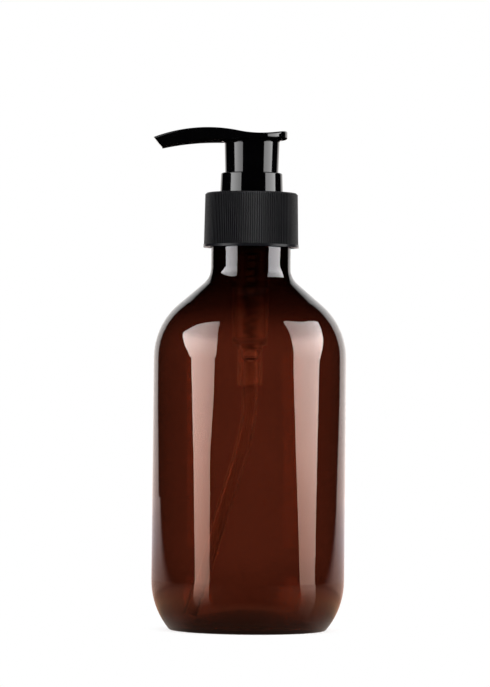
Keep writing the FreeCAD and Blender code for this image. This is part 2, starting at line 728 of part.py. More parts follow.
def make_spring():
    """One unbroken wire, whose pitch eases in from its flat ends."""
    radius, wire = size(SPRING_RADIUS), size("dims.spring_wire")
    turns, flat = int(size("dims.spring_turns")), size("dims.spring_end_pitch")
    rise = size(f"{SPRING_HEAD} - {SPRING_FOOT}") - wire
    extra = (rise - flat * turns) / (turns - 1)

    def height(turn):
        if turn > turns / 2:
            return rise - height(turns - turn)
        eased = turn / 2 - math.sin(math.pi * turn) / (2 * math.pi) if turn < 1 else turn - 0.5
        return flat * turn + extra * eased

    def point(turn):
        angle = 2 * math.pi * turn
        return Vector(radius * math.cos(angle), radius * math.sin(angle), height(turn))

    def heading(turn):
        angle = 2 * math.pi * turn
        pitch = flat + extra * (1 - math.cos(math.pi * min(turn, turns - turn, 1))) / 2
        way = Vector(-math.sin(angle), math.cos(angle), 0) * (2 * math.pi * radius)
        return (way + Vector(0, 0, pitch)).normalize()

    arcs = []
    for quarter in range(4 * turns):
        first, last = quarter / 4, (quarter + 1) / 4
        arcs += biarc(point(first), heading(first), point(last), heading(last))
    path = Part.Wire([arc.toShape() for arc in arcs])
    section = Part.Wire([Part.makeCircle(wire / 2, point(0), heading(0))])
    spring = doc.addObject("Part::Feature", "spring")
    spring.Label = "spring"
    spring.Shape = path.makePipeShell([section], True, False)
    spring.Placement.Base = Vector(0, 0, size(SPRING_FOOT) + wire / 2)

    marks = [point(i / POINTS_PER_TURN) for i in range(turns * POINTS_PER_TURN + 1)]
    apart = range(POINTS_PER_TURN // 2, len(marks))
    gap = min(a.distanceToPoint(b) for skip in apart for a, b in zip(marks, marks[skip:])) - wire
    print(f"spring wire {path.Length:.1f} mm long, least gap to itself {gap:.2f} mm,",
          "volume over section times length",
          round(spring.Shape.Volume / (path.Length * math.pi * wire ** 2 / 4), 4))


def slope_of(face):
    """How far a face looks up, from 1 to -1, at the middle of its surface."""
    low_u, high_u, low_v, high_v = face.ParameterRange
    return face.normalAt((low_u + high_u) / 2, (low_v + high_v) / 2).z


def is_top(face):
    return slope_of(face) > LEVEL_FACE


def is_under(face):
    return slope_of(face) < -LEVEL_FACE


def is_wall(face):
    return abs(slope_of(face)) < UPRIGHT_FACE


def edge_between(body, one, other):
    """A test for the edges of a body between two kinds of face."""
    doc.recompute()
    shape = body.Tip.Shape

    def wanted(edge):
        faces = shape.ancestorsOfType(edge, Part.Face)
        return any(map(one, faces)) and any(map(other, faces))
    return wanted


def below_pad(body):
    """A test for the edge where the head's column meets the pad's underside."""
    under_wall = edge_between(body, is_under, is_wall)
    ceiling = size(CEILING)

    def wanted(edge):
        return edge.BoundBox.ZMin > ceiling + SAME_EDGE and under_wall(edge)
    return wanted


# Middle of the spout's crown, from the two arcs of the head's top that run into each other
TOP_ROUNDS = "(dims.saddle_round + dims.crown_round)"
TOP_RISE = "(dims.crown_rise - dims.saddle_rise)"
CROWN_BACK = f"(sqrt({TOP_ROUNDS}^2 - ({TOP_ROUNDS} - {TOP_RISE})^2) - dims.saddle_offset)"
CROWN_CENTRE = f"({CROWN} - dims.crown_round)"


def on_circle(centre, radius, across):
    """The upper point of a circle at a distance across."""
    return Vector(across, centre.y + math.sqrt(radius ** 2 - (across - centre.x) ** 2), 0)


def head_blank(body):
    """The head's side view, as a bar as wide as the pad."""
    sketch = new_sketch(body, "side", "XZ_Plane")
    saddle_round, crown_round, under_round = (
        size(f"dims.{n}_round") for n in ("saddle", "crown", "spout_under"))
    back = f"({PAD} + dims.head_top_edge)"
    lower_reach = "(dims.spout_reach - dims.tip_slant)"
    under_level = f"({PAD_UNDER} - dims.spout_drop)"
    saddle = Vector(size("dims.saddle_offset"), size(SADDLE) + saddle_round, 0)
    crown = Vector(-size(CROWN_BACK), size(CROWN_CENTRE), 0)
    tip = on_circle(crown, crown_round, -size("dims.spout_reach"))
    swing = saddle + (crown - saddle) * (saddle_round / (saddle_round + crown_round))
    lip = Vector(size(back), 2 * saddle.y - on_circle(saddle, saddle_round, size(back)).y, 0)
    corner = Vector(size(back), size(PAD_UNDER), 0)
    under_start = Vector(-size("dims.spout_under_start"), size(under_level), 0)
    rear_way = (corner - under_start).normalize()
    under = under_start + Vector(rear_way.y, -rear_way.x, 0) * under_round
    tip_foot = on_circle(under, under_round, -size(lower_reach))
    crown_middle = on_circle(crown, crown_round, (tip.x + swing.x) / 2)
    low = (swing.x + lip.x) / 2
    saddle_middle = Vector(low, 2 * saddle.y - on_circle(saddle, saddle_round, low).y, 0)
    under_middle = on_circle(under, under_round, (under_start.x + tip_foot.x) / 2)

    top = sketch.addGeometry(arc_through(tip, crown_middle, swing), False)
    dip = sketch.addGeometry(arc_through(swing, saddle_middle, lip), False)
    rear = sketch_line(sketch, lip, corner)
    flat = sketch_line(sketch, corner, under_start)
    belly = sketch.addGeometry(arc_through(under_start, under_middle, tip_foot), False)
    face = sketch_line(sketch, tip_foot, tip)
    dip_end, belly_end = end_at(sketch, dip, lip), end_at(sketch, belly, tip_foot)
    sketch.addConstraint([
        Sketcher.Constraint("Tangent", top, end_at(sketch, top, swing), dip, end_at(sketch, dip, swing)),
        Sketcher.Constraint("Coincident", dip, dip_end, rear, 1),
        Sketcher.Constraint("Coincident", rear, 2, flat, 1),
        Sketcher.Constraint("Tangent", flat, 2, belly, end_at(sketch, belly, under_start)),
        Sketcher.Constraint("Coincident", belly, belly_end, face, 1),
        Sketcher.Constraint("Coincident", face, 2, top, end_at(sketch, top, tip)),
        Sketcher.Constraint("Vertical", rear)])
    for arc, name in ((top, "crown"), (dip, "saddle"), (belly, "spout_under")):
        radius = f"dims.{name}_round"
        bind(sketch, Sketcher.Constraint("Radius", arc, size(radius)), radius)
    place(sketch, dip, 3, "dims.saddle_offset", f"{SADDLE} + dims.saddle_round")
    place(sketch, rear, 2, back, PAD_UNDER)
    place(sketch, flat, 2, "-dims.spout_under_start", under_level)
    for shape, end, reach in ((face, 2, "dims.spout_reach"), (face, 1, lower_reach)):
        bind(sketch, Sketcher.Constraint("DistanceX", shape, end, -1, 1, size(reach)), reach)
    drop = f"-{CROWN_CENTRE}"
    bind(sketch, Sketcher.Constraint("DistanceY", top, 3, -1, 1, size(drop)), drop)
    extrude(body, "blank", sketch, f"2 * {back}")


def head_plan(body):
    """Trims the bar to the pad's disc and the spout that tapers away from it, seen from above."""
    sketch = new_sketch(body, "plan", "XY_Plane")
    stock = "(2 * dims.spout_reach)"
    quarters = (("-", "-"), ("", "-"), ("", ""), ("-", ""))
    draw(sketch, [Corner(f"{x}{stock}", f"{y}{stock}") for x, y in quarters])
    front = "(dims.spout_reach + dims.head_top_edge)"
    pad = size(PAD)
    tip = Vector(-size(front), size("dims.tip_width") / 2, 0)
    touch = math.atan2(tip.y, tip.x) - math.acos(pad / tip.Length)
    meet = Vector(math.cos(touch), math.sin(touch), 0) * pad
    tips, meets = ([Vector(v.x, v.y * way, 0) for way in (1, -1)] for v in (tip, meet))
    sides = [sketch_line(sketch, *ends) for ends in zip(tips, meets)]
    disc = sketch.addGeometry(arc_through(meets[0], Vector(pad, 0, 0), meets[1]), False)
    face = sketch_line(sketch, *tips)
    sketch.addConstraint([Sketcher.Constraint("Coincident", disc, 3, -1, 1)])
    bind(sketch, Sketcher.Constraint("Radius", disc, pad), PAD)
    for end, sign in ((0, ""), (1, "-")):
        sketch.addConstraint([
            Sketcher.Constraint("Tangent", sides[end], 2, disc, end_at(sketch, disc, meets[end])),
            Sketcher.Constraint("Coincident", face, end + 1, sides[end], 1)])
        place(sketch, sides[end], 1, f"-{front}", f"{sign}dims.tip_width / 2")
    check_cut(extrude(body, "trim", sketch, kind="Pocket"))


def head_column(body):
    """The column under the pad, hollow round the stem's socket."""
    socket = "(dims.stem_radius + dims.press_fit)"
    wall = f"({COLUMN_FOOT} - dims.column_wall)"
    inside_pad = f"({PAD_UNDER} + dims.head_under_edge)"
    turn(body, "column", [
        Corner(socket, "dims.stem_socket_foot"),
        Corner(SOCKET_RADIUS, "dims.stem_socket_foot"),
        Corner(SOCKET_RADIUS, CEILING),
        Corner(wall, CEILING),
        Corner(wall, "0"),
        Corner(COLUMN_FOOT, "0"),
        Corner(COLUMN_HEAD, PAD_UNDER),
        Corner(COLUMN_HEAD, inside_pad),
        Corner("0", inside_pad),
        Corner("0", SOCKET_TOP),
        Corner(socket, SOCKET_TOP),
    ])


def head_braces(body):
    """Thin walls from the stem's socket to the column."""
    inner = f"({SOCKET_RADIUS} - dims.stem_socket_wall / 2)"
    outer = f"({COLUMN_FOOT} - dims.column_wall / 2)"
    top = f"({CEILING} + dims.head_under_edge)"
    sketch = new_sketch(body, "brace_side", "XZ_Plane")
    draw(sketch, [
        Corner(inner, "dims.brace_foot"),
        Corner(outer, "dims.brace_foot"),
        Corner(outer, top),
        Corner(inner, top),
    ])
    pattern(body, extrude(body, "brace", sketch, "dims.brace_width"), "dims.brace_count")


def head_outlet(body):
    """The way for the oil: up from the stem, round an elbow and along the spout."""
    path = new_sketch(body, "outlet_path", "XZ_Plane")
    start = f"({SOCKET_TOP} - dims.outlet_radius)"
    middle_round = "(dims.crown_round - dims.outlet_depth)"
    end = "(dims.spout_reach + dims.head_top_edge)"
    elbow, radius = size("dims.outlet_elbow"), size(middle_round)
    crown = Vector(-size(CROWN_BACK), size(CROWN_CENTRE), 0)
    leave = on_circle(crown, radius, -size("dims.outlet_turn"))
    exit_point = on_circle(crown, radius, -size(end))
    middle = on_circle(crown, radius, (leave.x + exit_point.x) / 2)
    fall = Vector(leave.y - crown.y, crown.x - leave.x, 0).normalize()
    corner = leave + fall * (-leave.x / fall.x)
    run = elbow * math.tan(fall.getAngle(Vector(0, -1, 0)) / 2)
    low, high = corner - Vector(0, run, 0), corner - fall * run
    hub = low - Vector(elbow, 0, 0)
    bend_middle = hub + ((low + high) * 0.5 - hub).normalize() * elbow
    rise = sketch_line(path, Vector(0, size(start), 0), low)
    bend = path.addGeometry(arc_through(low, bend_middle, high), False)
    slope = sketch_line(path, high, leave)
    spout = path.addGeometry(arc_through(leave, middle, exit_point), False)
    spout_start, spout_end = end_at(path, spout, leave), end_at(path, spout, exit_point)
    path.addConstraint([
        Sketcher.Constraint("Vertical", rise),
        Sketcher.Constraint("Tangent", rise, 2, bend, end_at(path, bend, low)),
        Sketcher.Constraint("Tangent", bend, end_at(path, bend, high), slope, 1),
        Sketcher.Constraint("Tangent", slope, 2, spout, spout_start)])
    place(path, rise, 1, "0", start)
    place(path, spout, 3, f"-{CROWN_BACK}", CROWN_CENTRE)
    bind(path, Sketcher.Constraint("Radius", bend, elbow), "dims.outlet_elbow")
    bind(path, Sketcher.Constraint("Radius", spout, radius), middle_round)
    for mark, reach in ((spout_start, "dims.outlet_turn"), (spout_end, end)):
        bind(path, Sketcher.Constraint("DistanceX", spout, mark, -1, 1, size(reach)), reach)
    check_cut(pipe(body, "outlet", "dims.outlet_radius", path, start, kind="Subtractive"))


def make_pump_head():
    body = new_body("pump_head", HEAD_FOOT)
    head_blank(body)
    head_plan(body)
    fillet(body, "top_edge", "dims.head_top_edge", edge_between(body, is_top, is_wall))
    fillet(body, "under_edge", "dims.head_under_edge", edge_between(body, is_under, is_wall))
    head_column(body)
    fillet(body, "column_blend", "dims.column_blend", below_pad(body))
    head_braces(body)
    head_outlet(body)


for make in (make_bottle, make_closure, make_gasket, make_housing, make_stem_guide, make_lock_collar,
             make_main_stem, make_seal_stem, make_piston, make_check_ball, make_dip_tube, make_spring,
             make_pump_head):
    make()
doc.recompute()

bad = [o.Name for o in doc.Objects if {"Invalid", "Error"} & set(o.State)]
pieces = [o for o in doc.Objects if o.TypeId in ("PartDesign::Body", "Part::Sphere", "Part::Feature")]
bad += [p.Label for p in pieces if p.Shape.isNull() or not p.Shape.isValid()]
if bad:
    raise RuntimeError(f"failed: {bad}")
os.makedirs("parts", exist_ok=True)
for piece in pieces:
    print(piece.Label, round(piece.Shape.Volume, 2), piece.Shape.optimalBoundingBox())
    piece.Shape.exportStep(f"parts/{piece.Label}.step")
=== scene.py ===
"""Looks of the pump oil bottle: an amber bottle with a black lock-turn lotion pump."""
import json
import math

import bmesh
import bpy
from mathutils import Matrix, Vector
from mathutils.bvhtree import BVHTree


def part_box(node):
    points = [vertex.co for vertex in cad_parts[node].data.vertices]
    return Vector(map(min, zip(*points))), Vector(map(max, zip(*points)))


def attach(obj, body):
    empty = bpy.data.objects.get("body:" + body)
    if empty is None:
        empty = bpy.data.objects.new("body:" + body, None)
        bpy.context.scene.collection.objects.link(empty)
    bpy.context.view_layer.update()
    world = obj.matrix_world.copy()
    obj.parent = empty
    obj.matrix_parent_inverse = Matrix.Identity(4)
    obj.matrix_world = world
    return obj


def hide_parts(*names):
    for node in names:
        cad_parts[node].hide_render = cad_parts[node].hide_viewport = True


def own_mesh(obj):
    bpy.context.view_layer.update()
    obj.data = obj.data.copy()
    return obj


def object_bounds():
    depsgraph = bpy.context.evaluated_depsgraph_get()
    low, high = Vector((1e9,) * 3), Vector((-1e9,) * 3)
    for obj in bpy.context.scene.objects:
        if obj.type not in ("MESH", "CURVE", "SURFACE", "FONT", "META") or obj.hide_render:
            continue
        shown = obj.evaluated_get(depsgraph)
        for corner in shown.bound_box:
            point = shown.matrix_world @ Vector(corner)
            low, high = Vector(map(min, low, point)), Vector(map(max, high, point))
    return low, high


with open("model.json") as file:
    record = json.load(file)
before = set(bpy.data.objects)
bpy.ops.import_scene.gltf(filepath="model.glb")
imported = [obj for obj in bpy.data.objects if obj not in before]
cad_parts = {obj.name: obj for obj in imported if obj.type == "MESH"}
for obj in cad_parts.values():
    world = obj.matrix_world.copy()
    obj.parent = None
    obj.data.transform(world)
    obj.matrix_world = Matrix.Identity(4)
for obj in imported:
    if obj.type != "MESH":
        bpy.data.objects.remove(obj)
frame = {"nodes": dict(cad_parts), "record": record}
cad_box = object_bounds()
nodes = frame["nodes"]

MM = 0.001
UP = Vector((0, 0, 1))
WHITE = (1, 1, 1, 1)

# Photograph, in pixels: its size, the bottle's axis from the ground to the top of the pump, the horizon
PHOTO_SIZE = Vector((490, 687))
AXIS_FOOT = Vector((247.2, 629.5))
AXIS_TOP = Vector((252.25, 128.85))
HORIZON = 400
FOCAL_LENGTH = 3600
SENSOR = 36

# Softboxes, in metres. Each is a curved sheet round the bottle, given by rows: a height, and the turns from
# the camera's side between which it reaches there, in degrees. Its light varies by height and by turn.
SOFTBOX_DISTANCE = 0.6
SOFTBOX_COLUMNS = 6
SOFTBOX_RADIANCE = 11.5
SOFTBOX_SHARES = (              # of that, by height
    (0.05, 0.69), (0.09, 0.77), (0.20, 0.93), (0.31, 0.97), (0.45, 0.62), (0.60, 0.52), (0.92, 0.50))
SOFTBOXES = {
    "left_softbox": {
        "rows": (
            (-0.50, -74, -50), (-0.24, -69, -48), (-0.01, -64, -45), (0.05, -68, -46), (0.08, -71, -42),
            (0.18, -80, -39), (0.38, -98, -41), (0.57, -88, -45), (0.88, -58, -53)),
        "low_shares": (
            (-0.50, 0.0), (-0.35, 0.005), (-0.24, 0.075), (-0.12, 0.22), (-0.01, 0.46), (0.02, 0.60)),
        "turns": (46, 70),
        "turn_shares": (0.72, 1.10)},
    "right_softbox": {
        "rows": (
            (-0.50, 74, 100), (-0.20, 68, 92), (-0.01, 63, 85), (0.05, 56, 87), (0.09, 52, 89),
            (0.18, 52, 95), (0.36, 53, 107), (0.50, 55, 118), (0.69, 57, 89), (0.90, 60, 64)),
        "low_shares": (
            (-0.50, 0.0), (-0.25, 0.025), (-0.17, 0.06), (-0.11, 0.12), (-0.04, 0.24), (-0.01, 0.34)),
        "turns": (53, 95),
        "turn_shares": (0.86, 1.10)},
}

# World
AMBIENT = 0.4
INNER_FILL = 29.0               # on what is inside the bottle

# Backdrop as the bottle's gloss sees it: it ends at both sides, and it is brighter on the right
BACKDROP_WAY = (0.05, 1.0, 0.0)
BACKDROP_EDGE = (0.745, 0.795)  # how far a direction points at it, where it starts and is full
BACKDROP_FALL = (-0.028, 0.0)   # rise of the directions between which it widens to meet the table
BACKDROP_FLARE = 0.08
BACKDROP_SIDES = (1.0, 1.24)    # brightness on the left and on the right
BACKDROP_SPAN = (-0.5, 0.5)     # how far a direction points to the right, where these are reached
BACKDROP_COLOURS = (            # by the rise of the direction
    (-0.045, (0.0, 0.0, 0.0)), (-0.03, (1.18, 0.96, 0.90)), (0.0, (1.20, 1.10, 1.06)),
    (0.03, (1.15, 1.11, 1.08)), (0.38, (0.95, 0.95, 0.95)), (0.50, (0.60, 0.60, 0.60)),
    (0.62, (0.0, 0.0, 0.0)))

# Table
TABLE_RADIUS = 1.6
TABLE_SIDES = 128
TABLE_FADE = (0.020, 0.034)     # shadows fade into plain white between these
TABLE_WHITE = (0.95, 0.95, 0.95, 1)

# Table as the bottle's gloss sees it: lit in a fan behind the bottle, and warm and dim round its foot
FAN_WIDTH = 0.21                # half its width beside the bottle
FAN_FLARE = 0.93                # how fast it widens to the back
FAN_EDGE = (-0.12, 0.08)        # distances in from its sides between which it starts
FAN_FRONT = (-0.03, 0.09)       # and distances to the back
FOOT_GLOW = (0.06, 0.20)        # distances between which the foot's glow ends
FOOT_FRONT = (-1.0, -0.45)      # less of it in front, by the share of the distance that is to the back
FOOT_EDGE = (0.040, 0.050)      # distances between which its share in front ends
FOOT_EDGE_SHARE = 0.55
GLOW_REACH = (0.100, 0.118)     # heights between which all this stops showing in what stands on the table
TABLE_COLOURS = (               # by the distance from the axis
    (0.030, (0.30, 0.25, 0.22)), (0.036, (0.31, 0.22, 0.17)), (0.052, (0.56, 0.34, 0.22)),
    (0.066, (0.61, 0.33, 0.22)), (0.12, (0.72, 0.46, 0.37)), (0.75, (0.88, 0.75, 0.77)),
    (1.6, (1.2, 1.0, 0.96)))

# Amber plastic: its tint, and its absorption per metre of wall
AMBER_TINT = (1.0, 0.417, 0.277)
AMBER_DARK_TINT = (0.74, 0.302, 0.196)
AMBER_WAVES = 0.5               # share of the dark tint that comes and goes
AMBER_FOOT_SHADE = (0.010, 0.026)     # heights between which the painted shade at the foot ends
AMBER_FOOT_SHADE_SHARE = 0.6
AMBER_DENSITY = 1530
AMBER_COLOUR = (0.05, 0.02, 0.0, 1)
AMBER_IOR = 1.57
AMBER_PAINTED_HIGHLIGHT = (                 # painted highlight tint, by height: warm low on the body, grey on the neck
    (0.015, (1.0, 0.55, 0.41)), (0.05, (1.0, 0.62, 0.50)), (0.088, (1.0, 0.73, 0.64)),
    (0.112, (0.71, 0.69, 0.71)))

# Clear plastic: a thin tube hangs under the thicker housing, and has painted shade that makes it darker
# than the housing
TUBE_SHADE_TOP = (0.079, 0.081)
CLEAR_WAVES = 0.1               # share of its colour that comes and goes

# Closure: its ribs, how far the gloss rounds them, the grain's share of that, and its polished rim
RIB_COUNT = 132
RIB_ROUND = 0.11 * MM
RIB_GRAIN = 0.2
RIM_GLOSS = (0.1257, 0.1260)    # heights between which the rim ends
RIM_ROUGHNESS = 0.10

# Moulded skin
SPECK_SCALE = 900.0
SPECK_EDGE = (0.04, 0.10)       # distances from a speck's middle, as shares of a cell, where it ends

# Meshes that are made here
MERGE = 0.0001 * MM
CREASE = math.radians(40)

# Spring, in the wire and turns of its CAD node
SPRING_WIRE = 0.7 * MM
SPRING_TURNS = 12
SPRING_END_PITCH = 0.4 * MM
SPRING_STEPS = 32               # per turn
SPRING_SIDES = 14

# Screw thread, one lead of it on the neck and one in the closure
THREAD_LEAD = 4.233 * MM
THREAD_DEPTH = 0.7 * MM
THREAD_ROOT = 1.6 * MM
THREAD_CREST = 0.8 * MM
THREAD_SINK = 0.05 * MM         # into the wall that carries it
THREAD_STEPS = 48               # per turn
THREAD_RUN_OUT = 1 / 24         # of a turn at each end
THREAD_CREASE = math.radians(25)
NECK_RADIUS = 13.05 * MM
CLOSURE_BORE = 13.9 * MM
NECK_THREAD_FOOT = 127.6 * MM
NECK_THREAD_TURNS = 1.5
CLOSURE_THREAD_TURNS = 1.25

# Turn mark raised on the head's pad: an arc with an arrow head at each end
MARK_RADIUS = 3.6 * MM
MARK_WIDTH = 0.8 * MM
MARK_SWEEP = math.radians(200)
MARK_STEPS = 40
MARK_HEAD_WIDTH = 2.2 * MM
MARK_HEAD_LENGTH = 2.0 * MM
MARK_RISE = 0.5 * MM
MARK_SINK = 0.1 * MM
MARK_EDGE = 0.1 * MM
MARK_EDGE_STEPS = 2
MARK_MIDDLE = Vector((-0.6 * MM, 0, 0))
WALL_SLOPE = 0.5                # a face that looks up less than this is a wall

# Sockets of a colour mix, by number because their names repeat
MIX_A, MIX_B, MIX_RESULT = 6, 7, 2


# Shader nodes

def add(tree, kind, inputs=None, **settings):
    """A new node: settings are its own properties, inputs are values or the sockets that feed it."""
    node = tree.nodes.new(kind)
    for name, value in settings.items():
        setattr(node, name, value)
    for name, value in (inputs or {}).items():
        if isinstance(value, bpy.types.NodeSocket):
            tree.links.new(value, node.inputs[name])
        else:
            node.inputs[name].default_value = value
    return node


def spread(tree, value, low, high, from_low=0.0, from_high=1.0, ease="LINEAR"):
    """A value's range stretched to another one."""
    node = add(tree, "ShaderNodeMapRange", {
        "Value": value, "From Min": from_low, "From Max": from_high, "To Min": low, "To Max": high},
        interpolation_type=ease)
    return node.outputs["Result"]


def ramp(tree, value, stops):
    """A colour that follows a value from stop to stop."""
    low, high = stops[0][0], stops[-1][0]
    node = add(tree, "ShaderNodeValToRGB", {"Fac": spread(tree, value, 0.0, 1.0, low, high)})
    marks = node.color_ramp.elements
    marks[0].color = (*stops[0][1], 1)
    marks[-1].color = (*stops[-1][1], 1)
    for place, colour in stops[1:-1]:
        marks.new((place - low) / (high - low)).color = (*colour, 1)
    return node.outputs["Color"]


def calculate(tree, operation, *values):
    """A number from other numbers."""
    return add(tree, "ShaderNodeMath", dict(enumerate(values)), operation=operation).outputs["Value"]


def capped_sum(tree, first, second):
    """The sum of two numbers, at most 1."""
    return add(tree, "ShaderNodeMath", {0: first, 1: second}, use_clamp=True).outputs["Value"]


def blend_values(tree, share, first, second):
    """A number between two others."""
    return add(tree, "ShaderNodeMix", {"Factor": share, "A": first, "B": second}).outputs["Result"]


def blend_colours(tree, share, first, second):
    """A colour between two others."""
    sockets = {"Factor": share, MIX_A: first, MIX_B: second}
    return add(tree, "ShaderNodeMix", sockets, data_type="RGBA").outputs[MIX_RESULT]


def blend_shaders(tree, share, first, second):
    """A shader between two others."""
    return add(tree, "ShaderNodeMixShader", {0: share, 1: first, 2: second}).outputs["Shader"]


def glow(tree, colour, strength):
    """A shader that gives light."""
    return add(tree, "ShaderNodeEmission", {"Color": colour, "Strength": strength}).outputs["Emission"]


def place_in(tree):
    """Places in the piece's own frame."""
    return add(tree, "ShaderNodeTexCoord").outputs["Object"]


def split(tree, vector):
    """A vector's X, Y and Z."""
    return add(tree, "ShaderNodeSeparateXYZ", {"Vector": vector}).outputs


# Camera, lamps, world and table

def set_camera():
    """A camera that sees the bottle's axis where the photograph has it."""
    axis = AXIS_TOP - AXIS_FOOT
    scale = cad_box[1].z / axis.length
    middle_row = (PHOTO_SIZE.y / 2 - AXIS_FOOT.y) / axis.y
    axis_across = AXIS_FOOT.x + axis.x * middle_row
    place = Vector((
        (PHOTO_SIZE.x / 2 - axis_across) * scale, -FOCAL_LENGTH * scale, (AXIS_FOOT.y - HORIZON) * scale))
    tilt = math.atan((HORIZON - PHOTO_SIZE.y / 2) / FOCAL_LENGTH)
    roll = math.atan2(axis.x, -axis.y)
    data = bpy.data.cameras.new("camera")
    data.sensor_width = SENSOR
    data.lens = FOCAL_LENGTH * SENSOR / PHOTO_SIZE.y
    camera = bpy.data.objects.new("camera", data)
    stand = Matrix.Translation(place) @ Matrix.Rotation(math.pi / 2 + tilt, 4, "X")
    camera.matrix_world = stand @ Matrix.Rotation(roll, 4, "Z")
    bpy.context.scene.collection.objects.link(camera)
    bpy.context.scene.camera = camera


def new_stage(name, bm):
    """A piece of the studio, with an empty material."""
    mesh = bpy.data.meshes.new(name)
    bm.to_mesh(mesh)
    bm.free()
    piece = bpy.data.objects.new(name, mesh)
    bpy.context.scene.collection.objects.link(piece)
    material = bpy.data.materials.new(name)
    material.use_nodes = True
    material.node_tree.nodes.clear()
    mesh.materials.append(material)
    return piece, material.node_tree


def hang_softbox(name, rows, low_shares, turns, turn_shares):
    """A curved sheet of light. Its low shares come below the common ones."""
    bm = bmesh.new()
    rungs = []
    for height, *ends in rows:
        ways = [Matrix.Rotation(math.radians(end), 3, "Z") @ Vector((0, -1, 0)) for end in ends]
        rungs.append(bm.edges.new([bm.verts.new(way + UP * height) for way in ways]))
    for low, high in zip(rungs, rungs[1:]):
        bmesh.ops.bridge_loops(bm, edges=[low, high])
    bmesh.ops.subdivide_edges(bm, edges=rungs, cuts=SOFTBOX_COLUMNS - 1, use_grid_fill=True)
    for vert in bm.verts:
        vert.co.xy = vert.co.xy.normalized() * SOFTBOX_DISTANCE
    sheet, tree = new_stage(name, bm)
    sheet.visible_camera = False
    parts = split(tree, place_in(tree))
    greys = [(height, (share, share, share)) for height, share in low_shares + SOFTBOX_SHARES]
    front = calculate(tree, "MULTIPLY", parts["Y"], -1.0)
    turn = calculate(tree, "ARCTAN2", calculate(tree, "ABSOLUTE", parts["X"]), front)
    across = spread(tree, turn, *turn_shares, *map(math.radians, turns))
    strength = calculate(tree, "MULTIPLY", across, SOFTBOX_RADIANCE)
    light = glow(tree, ramp(tree, parts["Z"], greys), strength)
    add(tree, "ShaderNodeOutputMaterial", {"Surface": light})


def camera_rays(tree, rays):
    """1 for the rays from the camera, also those that pass the bottle."""
    return capped_sum(tree, rays["Is Camera Ray"], rays["Is Transmission Ray"])


def gloss_only(tree, rays):
    """1 for the rays that a surface reflects, and 0 for those seen directly or through the bottle."""
    shiny = calculate(tree, "SUBTRACT", rays["Is Glossy Ray"], rays["Is Transmission Ray"])
    return calculate(tree, "MAXIMUM", shiny, 0.0)


def light_world():
    """White behind the bottle and through it, and a soft fill. The bottle's gloss sees a backdrop."""
    world = bpy.data.worlds.new("studio")
    bpy.context.scene.world = world
    world.use_nodes = True
    tree = world.node_tree
    rays = add(tree, "ShaderNodeLightPath").outputs
    inside = calculate(tree, "GREATER_THAN", rays["Diffuse Depth"], 0.5)
    through = blend_values(tree, inside, 1.0, INNER_FILL)
    plain = blend_values(tree, camera_rays(tree, rays), AMBIENT, through)
    way = add(tree, "ShaderNodeTexCoord").outputs["Generated"]
    parts = split(tree, way)
    lean = add(tree, "ShaderNodeVectorMath", {0: way, 1: BACKDROP_WAY}, operation="DOT_PRODUCT")
    wider = spread(tree, parts["Z"], BACKDROP_FLARE, 0.0, *BACKDROP_FALL)
    reach = calculate(tree, "ADD", lean.outputs["Value"], wider)
    reach = spread(tree, reach, 0.0, 1.0, *BACKDROP_EDGE, ease="SMOOTHSTEP")
    sides = spread(tree, parts["X"], *BACKDROP_SIDES, *BACKDROP_SPAN)
    in_gloss = gloss_only(tree, rays)
    strength = blend_values(tree, in_gloss, plain, calculate(tree, "MULTIPLY", reach, sides))
    colour = blend_colours(tree, in_gloss, WHITE, ramp(tree, parts["Z"], BACKDROP_COLOURS))
    background = tree.nodes["Background"]
    tree.links.new(strength, background.inputs["Strength"])
    tree.links.new(colour, background.inputs["Color"])


def lay_table():
    """A white table top, whose shadows fade into plain white away from the bottle."""
    bm = bmesh.new()
    bmesh.ops.create_circle(bm, cap_ends=True, segments=TABLE_SIDES, radius=TABLE_RADIUS)
    tree = new_stage("table_top", bm)[1]
    rays = add(tree, "ShaderNodeLightPath").outputs
    place = place_in(tree)
    out = add(tree, "ShaderNodeVectorMath", {0: place}, operation="LENGTH").outputs["Value"]
    far = spread(tree, out, 0.0, 1.0, *TABLE_FADE, ease="SMOOTHSTEP")
    far = calculate(tree, "MULTIPLY", far, camera_rays(tree, rays))
    paint = add(tree, "ShaderNodeBsdfDiffuse", {"Color": TABLE_WHITE}).outputs["BSDF"]
    top = blend_shaders(tree, far, paint, glow(tree, WHITE, 1.0))
    sheen = table_sheen(tree, rays, split(tree, place), out)
    surface = blend_shaders(tree, gloss_only(tree, rays), top, sheen)
    add(tree, "ShaderNodeOutputMaterial", {"Surface": surface})


